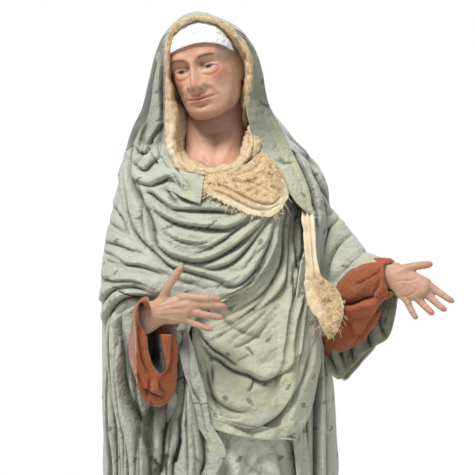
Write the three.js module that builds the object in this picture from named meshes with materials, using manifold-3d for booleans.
// A standing nativity figure of an old woman, about 46 cm tall: painted terracotta head and hands,
// a white headband, an ochre gauze veil, rust sleeves, a sage robe and a wrapped hooded mantle,
// all of stiffened cloth, on a low oval wooden base.
// Millimetres, +Z up. The origin is the middle of the base's underside, and the figure faces -Y.
import * as THREE from "three";
import { mergeVertices } from "three/addons/utils/BufferGeometryUtils.js";
import Module from "manifold-3d";

const wasm = await Module();
wasm.setup();

// The free space kept between two pieces that touch, and the wider one around the robe.
const GAP = 0.35;
const ROBE_ROOM = 1.7;

const BASE = { halfLength: 86, halfDepth: 66, height: 16, segments: 30 };

// Outline of a standing drape, from the hem up: height, left edge, right edge, front, back.
const ROBE_SECTIONS = [
  [BASE.height + GAP, -65, 62, -49, 46],
  [60, -62, 60, -46, 43],
  [130, -59, 57, -43, 41],
  [200, -57, 55, -42, 38],
  [240, -53, 50, -45, 36],
  [275, -50, 46, -46, 34],
  [310, -50, 45, -42, 33],
  [345, -48, 45, -35, 31],
  [366, -41, 41, -23, 27],
];
const MANTLE_SECTIONS = [
  [BASE.height + 3, -76, 73, -58, 57],
  [60, -74, 71, -55, 55],
  [130, -72, 69, -52, 52],
  [200, -71, 68, -50, 49],
  [246, -72, 62, -51, 46],
  [285, -73, 58, -54, 44],
  [320, -73, 58, -52, 43],
  [350, -68, 60, -45, 42],
  [375, -62, 59, -36, 41],
  [392, -58, 50, -29, 40],
  [405, -54, 38, -24, 39],
  [418, -49, 29, -21, 39],
  [435, -45, 25, -23, 39],
  [450, -41, 21, -25, 36],
  [462, -35, 14, -26, 30],
  [470, -29, 5, -24, 23],
  [474.5, -24, -5, -20, 15],
  [476.5, -19, -10, -14, 6],
];
// The hollow of the hood, round the head.
const HOOD_INSIDE = [
  [366, -38, 36, -27, 32],
  [381, -39, 34, -25, 32],
  [405, -44, 26, -18, 33],
  [435, -41, 21, -20, 34],
  [455, -36.5, 15, -20, 30],
  [471, -25, -3, -18, 17],
];

// Neck and bust, in the same terms.
const BUST_SECTIONS = [
  [369, -33, 31, -24, 14],
  [378, -31, 27, -24, 15],
  [386, -27, 19, -20, 16],
  [393, -22, 14, -16, 16],
  [403, -20, 12, -13, 15],
  [415, -20, 11, -12, 15],
  [430, -21, 8, -10, 15],
];

// How the rows of points are shared out by height: where each band ends, and its rows.
const ROBE_ROWS = [[190, 3], [214, 2], [226, 2], [300, 10], [366, 4]];
const MANTLE_ROWS = [[190, 3], [282, 5], [376, 15], [462, 7], [476, 3]];
const ROBE_ROOM_ROWS = [[200, 3], [240, 2], [275, 2], [345, 2], [366, 1]];
// Rows sag with the swags: where in front, how wide, how far, and between which heights.
const ROBE_SAG = { across: 14, width: 26, drop: 20, low: 216, high: 330 };
const MANTLE_SAG = { across: -16, width: 34, drop: 22, low: 240, high: 400 };

// The bent right forearm lifts the mantle: how far it stands out in front, by height.
const ARM_BULGE = [
  [16, 5],
  [200, 11],
  [262, 15],
  [296, 20],
  [308, 19],
  [320, 10],
  [336, 0],
];
const ARM_BULGE_ANGLE = THREE.MathUtils.degToRad(-133);
const ARM_BULGE_SPREAD = THREE.MathUtils.degToRad(22);

// Families of folds on the front, seen from in front as (across, up) points. Each family runs
// from its first line to its last, with the others spaced evenly between them.
const CHEST_SWAGS = {
  first: [[-48, 366], [-22, 344], [22, 352]],
  last: [[-66, 330], [-26, 292], [22, 338]],
  count: 4,
  width: 4.6,
  depth: 5,
};
const SHOULDER_FOLDS = {
  first: [[-52, 384], [-46, 360], [-36, 352]],
  last: [[-62, 366], [-62, 338], [-52, 326]],
  count: 2,
  width: 4,
  depth: 4,
};
const CURTAIN_PLEATS = {
  first: [[-68, 300], [-67, 200], [-70, 24]],
  last: [[-58, 296], [-46, 210], [-36, 24]],
  count: 3,
  width: 5,
  depth: 7,
};
const INNER_PLEATS = {
  first: [[-22, 250], [-30, 160], [-26, 24]],
  last: [[-14, 290], [-14, 200], [-16, 24]],
  count: 2,
  width: 3.6,
  depth: 4,
};
const LEFT_SHOULDER_PLEATS = {
  first: [[25, 412], [38, 385], [52, 352]],
  last: [[32, 408], [56, 378], [62, 348]],
  count: 2,
  width: 3.4,
  depth: 3.6,
};
const HOOD_FOLDS = {
  first: [[-38, 440], [-47, 415], [-52, 390]],
  last: [[-40, 408], [-42, 392], [-44, 376]],
  count: 2,
  width: 4,
  depth: 3.4,
};
const CHEST_FALLS = {
  first: [[33, 350], [26, 318], [2, 296]],
  last: [[46, 345], [42, 290], [30, 250]],
  count: 3,
  width: 4,
  depth: 3.6,
};
const BELLY_SWAGS = {
  first: [[-18, 282], [14, 236], [46, 276]],
  last: [[-12, 240], [22, 204], [44, 244]],
  count: 3,
  width: 4.6,
  depth: 4,
};
const SKIRT_FALLS = {
  first: [[-14, 214], [-18, 140], [-20, 20]],
  last: [[42, 216], [50, 130], [54, 20]],
  count: 5,
  width: 4.6,
  depth: 5,
};

// Pleats all round the back and sides, as waves on the outline.
const BACK_PLEATS = { waves: 13, depth: 3.4, fromHeight: 372, toHeight: 250 };

// The mantle's two openings, as outlines seen from in front: the face and veil, and the robe.
const FACE_OPENING = [
  [-16, 470.5], [-4, 466.5], [8, 456], [16, 438], [18, 414], [24, 394], [37, 363],
  [28, 350], [12, 349], [-8, 357], [-24, 369], [-34, 386], [-38, 404], [-40, 425],
  [-39, 442], [-36, 456], [-28, 466.5],
];
const ROBE_OPENING = [
  [38, 355], [31, 340], [30, 326], [11, 308], [-10, 300], [-20, 286], [-8, 244],
  [-12, 190], [-18, 10], [50, 10], [46, 190], [42, 228], [40, 290], [42, 340],
];

// Head and bust. The head leans to its right and turns that way, looking a little down.
const HEAD = {
  centre: new THREE.Vector3(-10.5, -6, 438.5),
  halfWidth: 20.5,
  halfDepth: 26,
  halfHeight: 29.5,
  lean: THREE.MathUtils.degToRad(-16),
  turn: THREE.MathUtils.degToRad(-19),
  nod: THREE.MathUtils.degToRad(7),
};

// Numbers between listed stations, on smooth curves through them. The first column is the key.
function between(stations, key) {
  const last = stations.length - 1;
  if (key <= stations[0][0]) return stations[0].slice(1);
  if (key >= stations[last][0]) return stations[last].slice(1);
  const i = stations.findIndex((row, n) => n < last && key <= stations[n + 1][0]);
  const [low, high] = [stations[i], stations[i + 1]];
  const span = high[0] - low[0];
  const t = (key - low[0]) / span;
  const slope = (n, c) => {
    const [a, b] = [stations[Math.max(n - 1, 0)], stations[Math.min(n + 1, last)]];
    return (b[c] - a[c]) / (b[0] - a[0]);
  };
  return low.slice(1).map((value, k) => {
    const c = k + 1;
    const rise = high[c] - value;
    const [m0, m1] = [slope(i, c) * span, slope(i + 1, c) * span];
    return value + t * (m0 + t * (3 * rise - 2 * m0 - m1 + t * (m0 + m1 - 2 * rise)));
  });
}

function eased(from, to, value) {
  const t = THREE.MathUtils.clamp((value - from) / (to - from), 0, 1);
  return t * t * (3 - 2 * t);
}
const bell = (distance, width) => Math.exp(-((distance / width) ** 2));

// The fold lines of a family, each as short straight steps on a quadratic curve.
function foldLines({ first, last, count, width, depth }) {
  return Array.from({ length: count }, (_, n) => {
    const share = count > 1 ? n / (count - 1) : 0;
    const points = first.map((p, k) =>
      new THREE.Vector2(...p).lerp(new THREE.Vector2(...last[k]), share),
    );
    const steps = new THREE.QuadraticBezierCurve(...points).getPoints(10);
    return { steps, width, depth };
  });
}

// How deep the nearest folds of these lines cut at a point seen from in front.
function foldDepth(lines, across, up) {
  let total = 0;
  for (const { steps, width, depth } of lines) {
    let nearest = Infinity;
    let taper = 0;
    for (let i = 0; i + 1 < steps.length; i++) {
      const [a, b] = [steps[i], steps[i + 1]];
      const run = (b.x - a.x) ** 2 + (b.y - a.y) ** 2;
      const dot = (across - a.x) * (b.x - a.x) + (up - a.y) * (b.y - a.y);
      const t = THREE.MathUtils.clamp(dot / run, 0, 1);
      const away = Math.hypot(across - a.x - t * (b.x - a.x), up - a.y - t * (b.y - a.y));
      if (away < nearest) {
        nearest = away;
        taper = Math.sin((Math.PI * (i + t + 0.6)) / (steps.length + 0.2));
      }
    }
    total += depth * taper * bell(nearest, width);
  }
  return total;
}

// A closed geometry as a solid, and a solid as a named mesh.
function solidOf(geometry) {
  const plain = geometry.clone();
  plain.deleteAttribute("normal");
  plain.deleteAttribute("uv");
  const merged = mergeVertices(plain, 1e-3);
  return new wasm.Manifold(
    new wasm.Mesh({
      numProp: 3,
      vertProperties: merged.attributes.position.array,
      triVerts: new Uint32Array(merged.index.array),
    }),
  );
}

const joined = (solids) => solids.reduce((sum, solid) => sum.add(solid));
const largest = (solid) =>
  solid.decompose().reduce((best, body) => (body.volume() > best.volume() ? body : best));

function namedMesh(name, solid, look) {
  const { vertProperties, triVerts } = largest(solid).getMesh();
  const geometry = new THREE.BufferGeometry()
    .setAttribute("position", new THREE.BufferAttribute(vertProperties, 3))
    .setIndex(new THREE.BufferAttribute(triVerts, 1));
  geometry.computeVertexNormals();
  const mesh = new THREE.Mesh(geometry, new THREE.MeshStandardMaterial({ metalness: 0, ...look }));
  mesh.name = name;
  return mesh;
}

// A turned blank with flat ends, each point pushed to place(angle, share of height, reach), where
// reach is 1 on the wall and 0 in the middle of an end.
function shapedBlank(around, shares, place) {
  const profile = [new THREE.Vector2(0, 0)];
  for (const share of shares) profile.push(new THREE.Vector2(1, share));
  profile.push(new THREE.Vector2(0, 1));
  const blank = new THREE.LatheGeometry(profile, around);
  const { position } = blank.attributes;
  for (let i = 0; i < position.count; i++) {
    const [x, share, z] = [position.getX(i), position.getY(i), position.getZ(i)];
    const placed = place(Math.atan2(x, z), share, Math.hypot(x, z) > 0.5 ? 1 : 0);
    position.setXYZ(i, placed.x, placed.y, placed.z);
  }
  return solidOf(blank);
}

const sagAt = ({ across, width, drop, low, high }, x, up) =>
  drop * bell(x - across, width) * eased(low, low + 45, up) * eased(high, high - 45, up);

const evenShares = (rows) => Array.from({ length: rows + 1 }, (_, row) => row / rows);
function sharesOf(bands, bottom, top) {
  const heights = [bottom];
  for (const [end, rows] of bands) {
    const start = heights[heights.length - 1];
    for (let row = 1; row <= rows; row++) heights.push(start + ((end - start) * row) / rows);
  }
  return heights.map((height) => (height - bottom) / (top - bottom));
}

// A standing drape: oval sections by height, with folds cut into the wall. Its points lie closer
// together in front than behind.
function drape({ sections, around, bands, sag, relief, grow = 0 }) {
  const bottom = sections[0][0] - grow;
  const top = sections[sections.length - 1][0] + grow;
  const shares = sharesOf(bands.slice(0, -1).concat([[top, bands[bands.length - 1][1]]]), bottom, top);
  const power = 2 / 2.3;
  const place = (turn, share, reach) => {
    const angle = turn - 0.38 * Math.cos(turn);
    const [c, s] = [Math.cos(angle), Math.sin(angle)];
    const level = THREE.MathUtils.lerp(bottom, top, share);
    const up = level - (sag && s < 0 ? sagAt(sag, 62 * c, level) * eased(0, -0.5, s) * reach : 0);
    const [left, right, front, back] = between(sections, up);
    const [wide, deep] = [(right - left) / 2, (back - front) / 2];
    const across = (left + right) / 2 + wide * Math.sign(c) * Math.abs(c) ** power * reach;
    const along = (front + back) / 2 + deep * Math.sign(s) * Math.abs(s) ** power * reach;
    const outward = new THREE.Vector2(c / wide, s / deep).normalize();
    const push = reach * (grow + (relief ? relief(across, up, Math.atan2(s, c), outward) : 0));
    return new THREE.Vector3(across + outward.x * push, along + outward.y * push, up);
  };
  return shapedBlank(around, shares, place);
}

// A limb or strip along a smooth curve: section(share) gives its two half sizes, the first one
// across the curve and level with `flat`, the second at right angles to it.
function limb(points, section, { around = 8, rows = 8, flat = [0, 0, 1], grow = 0, round = 0.12 } = {}) {
  const path = new THREE.CatmullRomCurve3(points.map((p) => new THREE.Vector3(...p)));
  const level = new THREE.Vector3(...flat);
  return shapedBlank(around, evenShares(rows), (angle, share, reach) => {
    const heading = path.getTangent(share);
    const side = new THREE.Vector3().crossVectors(heading, level).normalize();
    const over = new THREE.Vector3().crossVectors(side, heading);
    const [a, b] = section(share);
    const end = Math.min(share, 1 - share) / round;
    const full = end < 1 ? Math.sqrt(1 - (1 - end) ** 2) * 0.75 + 0.25 : 1;
    return path
      .getPoint(share)
      .addScaledVector(heading, grow * (2 * share - 1))
      .addScaledVector(side, Math.cos(angle) * reach * (a * full + grow))
      .addScaledVector(over, -Math.sin(angle) * reach * (b * full + grow));
  });
}

// A block through the front, its outline given as seen from in front, back to a depth.
function frontCut(outline, depth) {
  const shape = new THREE.Shape(outline.map((p) => new THREE.Vector2(...p)));
  const block = new THREE.ExtrudeGeometry(shape, { depth: 200, bevelEnabled: false });
  return solidOf(block.rotateX(Math.PI / 2).translate(0, depth, 0));
}

function makeBase() {
  const { halfLength, halfDepth, height, segments } = BASE;
  const steps = [[0, 0], [1, 0], [1, 0.3], [0.96, 0.48], [0.94, 0.76], [0.955, 0.86]];
  const profile = [...steps, [0.945, 1], [0, 1]].map(([r, h]) => new THREE.Vector2(r, h));
  const turned = new THREE.LatheGeometry(profile, segments).rotateX(Math.PI / 2);
  return solidOf(turned.scale(halfLength, halfDepth, height));
}

const robeFolds = [CHEST_FALLS, BELLY_SWAGS, SKIRT_FALLS].flatMap(foldLines);
function makeRobe() {
  const relief = (across, up, angle, outward) => {
    const facing = eased(0.05, 0.5, -outward.y);
    const belly = 5 * bell(across - 18, 20) * bell(up - 256, 34) * eased(216, 224, up);
    return facing * (belly - foldDepth(robeFolds, across, up));
  };
  return drape({ sections: ROBE_SECTIONS, around: 28, bands: ROBE_ROWS, sag: ROBE_SAG, relief });
}

// The mantle's whole mass: the forearm under it in front, and pleats on the back and sides.
const mantleFolds = [
  CHEST_SWAGS, SHOULDER_FOLDS, CURTAIN_PLEATS, INNER_PLEATS, LEFT_SHOULDER_PLEATS, HOOD_FOLDS,
].flatMap(foldLines);
function makeMantleMass() {
  const { waves, depth, fromHeight, toHeight } = BACK_PLEATS;
  const relief = (across, up, angle, outward) => {
    const facing = eased(0.02, 0.4, -outward.y);
    const [stand] = between(ARM_BULGE, up);
    const bulge = stand * bell(angle - ARM_BULGE_ANGLE, ARM_BULGE_SPREAD);
    const wave = Math.sin(waves * angle + Math.sin(3 * angle + up / 90));
    const behind = depth * (1 - facing) * wave * eased(fromHeight, toHeight, up);
    return bulge + behind - facing * foldDepth(mantleFolds, across, up);
  };
  return drape({ sections: MANTLE_SECTIONS, around: 40, bands: MANTLE_ROWS, sag: MANTLE_SAG, relief });
}

// The mantle over the left arm: a wide bell, cut off on a slant so that it hangs open in front.
const LEFT_BELL = {
  path: [[44, 6, 354], [56, 0, 328], [70, -11, 304], [88, -31, 291]],
  size: (t) => [14 + 4 * t, 17 + 20 * t],
  wall: 3.4,
  mouth: [103, -40, 327],
  mouthFacing: [0.36, -0.83, -0.44],
};
function makeLeftBell() {
  const { path, size, wall, mouth, mouthFacing } = LEFT_BELL;
  const inner = (t) => size(0.45 + 0.55 * t).map((half) => half - wall);
  const hollow = limb([path[2], path[3], beyond(path)], inner, { around: 14, rows: 4, round: 0.1 });
  const block = new THREE.BoxGeometry(160, 160, 160).translate(0, 0, 80);
  const facing = new THREE.Vector3(...mouthFacing).normalize();
  const turned = new THREE.Quaternion().setFromUnitVectors(new THREE.Vector3(0, 0, 1), facing);
  block.applyQuaternion(turned).translate(...mouth);
  const front = solidOf(block);
  const bell = limb(path, size, { around: 18, rows: 8, round: 0.05 });
  return { cloth: bell.subtract(front), hollow };
}
const beyond = (path) => {
  const [before, end] = path.slice(-2);
  return end.map((value, axis) => 2 * value - before[axis]);
};

// The head: an oval skull with a narrower jaw, brow, nose, mouth and chin, on a neck and bust.
function makeHead(grow, around, rows) {
  const { centre, halfWidth, halfDepth, halfHeight } = HEAD;
  const skull = new THREE.SphereGeometry(1, around, rows).rotateX(Math.PI / 2);
  const { position } = skull.attributes;
  for (let i = 0; i < position.count; i++) {
    const p = new THREE.Vector3().fromBufferAttribute(position, i);
    const ring = Math.hypot(p.x, p.y);
    const turn = Math.atan2(p.y, p.x);
    const angle = turn - 0.4 * Math.cos(turn);
    p.set(ring * Math.cos(angle), ring * Math.sin(angle), p.z);
    const away = p.clone();
    const front = eased(0, 0.8, -p.y);
    const jaw = eased(0.1, -1, p.z);
    const x = p.x * halfWidth * (1 - 0.2 * jaw);
    const up = p.z * halfHeight;
    const nose = bell(x, 2.8 + 0.1 * Math.max(0, 3 - up)) * eased(7, -8, up) * eased(-14, -10, up);
    const eyes = (bell(x - 8, 5) + bell(x + 8, 5)) * bell(up - 1, 4);
    const mouth = 3 * bell(x, 8) * bell(up + 17, 2.6);
    const chin = 8 * bell(x, 12) * bell(up + 24, 7);
    let y = p.y * halfDepth * (p.y < 0 ? 0.86 : 1 - 0.35 * jaw);
    y += front * (2 * bell(x, 17) * jaw + 3.4 * eyes - 2 * bell(up - 8, 3.6) * bell(x, 14));
    y -= front * (8 * nose + mouth + chin);
    p.set(x, y, up).addScaledVector(away, grow);
    position.setXYZ(i, p.x, p.y, p.z);
  }
  skull.applyMatrix4(headPose(centre));
  const bust = drape({ sections: BUST_SECTIONS, around: 18, bands: [[386, 3], [403, 3], [430, 2]], grow });
  return solidOf(skull).add(bust);
}
function headPose(centre) {
  const { lean, turn, nod } = HEAD;
  const turned = new THREE.Matrix4().makeRotationFromEuler(new THREE.Euler(nod, lean, turn, "YZX"));
  return turned.setPosition(centre);
}

// The band is a slice of the skull's own oval, a little larger, tilted with the head.
function makeHeadband(grow) {
  const { centre, halfWidth, halfDepth, halfHeight } = HEAD;
  const thickness = 2.4 + grow;
  const cap = new THREE.SphereGeometry(1, 20, 12).rotateX(Math.PI / 2);
  cap.scale(halfWidth + thickness, halfDepth * 0.93 + thickness, halfHeight + thickness);
  const slab = new THREE.BoxGeometry(80, 80, 14 + 2 * grow).translate(0, 0, 20);
  const band = solidOf(cap).intersect(solidOf(slab));
  return band.transform(headPose(centre).elements);
}

// The veil frames the face in one long strip, crosses under the neck and spreads over the chest.
const VEIL_SIDE_PATH = [
  [26, -20, 386], [20, -17, 400], [17.5, -18, 414], [15.5, -20, 434], [9, -21, 451], [-3, -22, 463],
  [-16, -22, 467.5], [-28, -22, 462], [-35, -21, 446], [-37, -21, 427], [-36, -22, 408], [-33, -25, 393],
];
const VEIL_NECK_PATH = [
  [-35, -23, 402], [-33, -25, 391], [-25, -29, 377], [-9, -34, 369], [8, -33, 372], [19, -27, 381],
  [26, -22, 393], [27, -17, 402],
];

// The hood's edge follows just outside the veil.
const HOOD_EDGE_PATH = VEIL_SIDE_PATH.slice(1).map(([x, y, z]) => {
  const away = new THREE.Vector2(x + 10, z - 425).setLength(4.6);
  return [x + away.x, y + 9, z + away.y];
});
const makeHoodEdge = () => limb(HOOD_EDGE_PATH, () => [2, 10], { around: 6, rows: 16, flat: [0, 1, 0] });

function makeVeil(grow) {
  const flat = [0, 1, 0];
  const side = limb(VEIL_SIDE_PATH, (t) => [2 + 2.3 * t, 4.4], { around: 7, rows: 19, flat, grow });
  const neck = limb(VEIL_NECK_PATH, () => [5.4, 4.2], { around: 7, rows: 11, flat, grow });
  const bib = limb([[-12, -37, 365], [12, -40, 364], [37, -31, 374]], (t) => {
    const full = 0.6 + 0.4 * Math.sin(Math.PI * t);
    return [(12 + 3 * t) * full, 4.5];
  }, { around: 9, rows: 7, flat: [0, 1, 0.25], grow });
  return joined([side, neck, bib]);
}

// The veil's loose end, lying on the mantle in front of the left arm.
const TAIL_PATH = [[46, -35, 358], [49, -39, 338], [53, -45, 312], [62, -50, 284]];
const makeVeilTail = (grow) =>
  limb(TAIL_PATH, (t) => [5 + Math.sin(6 * t) + 5 * eased(0.45, 0.8, t), 2.6], {
    around: 8, rows: 9, flat: [0, 1, 0], grow,
  });

// The two rust sleeves: the way each forearm runs, and the half sizes of the loose cloth round it,
// then the same for the hollow at the mouth. The left one also has a gap between two flaps.
const SLEEVES = {
  right: {
    path: [[-51, -30, 285], [-45, -46, 279], [-37.5, -64, 273.5]],
    size: (t) => [10 + 7 * t, 18 + 14 * t],
    hollow: [[-44, -48, 284], [-38, -63, 282], [-32, -81, 280]],
    hollowSize: [9.5, 20],
    forearm: [[-49, -40, 291], [-44, -52, 293], [-40, -62, 295]],
  },
  left: {
    path: [[58, -10, 288], [73, -27, 291], [88, -38, 305], [102, -46, 316]],
    size: (t) => [9.5 - t, 20 - 9.5 * t * t],
    hollow: [[92, -40, 305], [101, -46, 315], [109, -50, 322]],
    hollowSize: [6.6, 8.4],
    forearm: [[84, -34, 308], [91, -39, 311], [97, -43, 316]],
    gap: [[64, 304], [79, 303], [91, 306], [79, 299], [68, 291]],
  },
};
const makeSleeve = ({ path, size }, grow) => limb(path, size, { around: 12, rows: 5, round: 0.05, grow });
const makeSleeveHollow = ({ hollow, hollowSize }) =>
  limb(hollow, () => hollowSize, { around: 10, rows: 2, round: 0.2 });
const makeForearm = ({ forearm }, grow) =>
  limb(forearm, () => [7.4, 7.4], { around: 10, rows: 3, grow, round: 0.05 });

// Hands. Each has its own frame: x along the fingers, y to the thumb's side, z towards the viewer.
// A finger is its knuckle and tip as (x, y), and how far its middle stands towards the viewer.
const HANDS = {
  right: {
    wrist: [-42.6, -67, 296],
    along: [0.97, -0.2, 0.03],
    thumbWards: [-0.03, 0, 1],
    fingers: [
      [25, 9, 43.5, 9.6, 1.4], [26, 4.2, 46.5, 3.8, 1], [25, -1, 44.5, -3.4, 0.6], [21, -6, 38, -10.4, 0.2],
    ],
    thumb: [7, 7, 20, 26.5, 1.5],
  },
  left: {
    wrist: [98, -44, 317],
    along: [0.84, -0.36, -0.4],
    thumbWards: [0.42, 0, 0.9],
    fingers: [
      [22.5, 5.5, 43, 2.5, -1], [22.5, 0.5, 41, -4, -1], [20.5, -4.5, 35, -9, -1], [15.5, -9, 27, -15.5, -1],
    ],
    thumb: [7, 8, 21, 17, 1],
  },
};
const FINGER = { base: 3, tip: 2.3 };
function makeHand({ wrist, along, thumbWards, fingers, thumb }, grow) {
  const x = new THREE.Vector3(...along).normalize();
  const z = new THREE.Vector3().crossVectors(x, new THREE.Vector3(...thumbWards)).normalize();
  const y = new THREE.Vector3().crossVectors(z, x);
  const pose = new THREE.Matrix4().makeBasis(x, y, z).setPosition(...wrist);
  const digit = ([x0, y0, x1, y1, stand], swell) => {
    const middle = [x0 * 0.45 + x1 * 0.55, y0 * 0.4 + y1 * 0.6, stand];
    const size = (t) => Array(2).fill(swell * THREE.MathUtils.lerp(FINGER.base, FINGER.tip, t));
    return limb([[x0 - 4, y0 - 0.2 * (y1 - y0), 0], middle, [x1, y1, 0]], size, {
      around: 6, rows: 3, round: 0.3, grow,
    });
  };
  const palm = limb([[-9, 0, 0], [2, 0, 0.3], [14, 0.8, 0.6], [27, 1.6, 0]], (t) => {
    const broad = eased(0.3, 0.75, t);
    return [6.6 + 3.8 * broad, 5.6 - 1.8 * broad];
  }, { around: 8, rows: 7, round: 0.16, grow });
  const parts = [palm, ...fingers.map((f) => digit(f, 1)), digit(thumb, 1.15)];
  return joined(parts).transform(pose.elements);
}

const { right: rightSleeve, left: leftSleeve } = SLEEVES;
const headBody = makeHead(0, 24, 21);
const headRoom = makeHead(1.1, 18, 13);
const veilRoom = makeVeil(1.4 * GAP);
const bandBody = makeHeadband(0).subtract(headRoom);
const veilBody = makeVeil(0).subtract(joined([headRoom, makeHeadband(GAP)]));
const tailRoom = makeVeilTail(GAP);
const sleeveRoom = joined([makeSleeve(rightSleeve, GAP), makeSleeve(leftSleeve, GAP)]);
const robeBody = makeRobe().subtract(joined([veilRoom, sleeveRoom, tailRoom]));
const robeRoom = drape({ sections: ROBE_SECTIONS, around: 24, bands: ROBE_ROOM_ROWS, grow: ROBE_ROOM });
const hoodRoom = drape({ sections: HOOD_INSIDE, around: 16, bands: [[470, 6]] });
const forearmRoom = makeForearm(rightSleeve, GAP);
const leftBell = makeLeftBell();
const mantleBody = makeMantleMass()
  .subtract(frontCut(FACE_OPENING, -4))
  .subtract(frontCut(ROBE_OPENING, -14))
  .add(leftBell.cloth)
  .add(makeHoodEdge())
  .subtract(joined([robeRoom, hoodRoom, leftBell.hollow, veilRoom, sleeveRoom, forearmRoom, tailRoom]));

// One arm: the rust sleeve, the dark forearm in it, and the hand.
function makeArm(sleeve, hand) {
  const forearmRoom = makeForearm(sleeve, GAP);
  const handRoom = makeHand(hand, GAP);
  const openings = [makeSleeveHollow(sleeve), forearmRoom, handRoom];
  if (sleeve.gap) openings.push(frontCut(sleeve.gap, -26));
  return {
    sleeve: makeSleeve(sleeve, 0).subtract(joined(openings)),
    forearm: makeForearm(sleeve, 0).subtract(handRoom),
    hand: makeHand(hand, 0),
  };
}
const rightArm = makeArm(rightSleeve, HANDS.right);
const leftArm = makeArm(leftSleeve, HANDS.left);

const SKIN = { color: 0xc79f80, roughness: 0.5 };
const SAGE = { color: 0xa9ac98, roughness: 0.85 };
const RUST = { color: 0xa85c38, roughness: 0.85 };
const GAUZE = { color: 0xdcc08c, roughness: 0.95 };
const DARK = { color: 0x262122, roughness: 0.9 };

const figure = new THREE.Group();
figure.add(
  namedMesh("base", makeBase(), { color: 0x5b3d28, roughness: 0.5 }),
  namedMesh("robe", robeBody, SAGE),
  namedMesh("mantle", mantleBody, SAGE),
  namedMesh("head", headBody, SKIN),
  namedMesh("headband", bandBody, { color: 0xf2f4f0, roughness: 0.8 }),
  namedMesh("veil", veilBody, GAUZE),
  namedMesh("veil_tail", makeVeilTail(0), GAUZE),
  namedMesh("right_sleeve", rightArm.sleeve, RUST),
  namedMesh("left_sleeve", leftArm.sleeve, RUST),
  namedMesh("right_undersleeve", rightArm.forearm, DARK),
  namedMesh("left_undersleeve", leftArm.forearm, DARK),
  namedMesh("right_hand", rightArm.hand, SKIN),
  namedMesh("left_hand", leftArm.hand, SKIN),
);

export default figure;
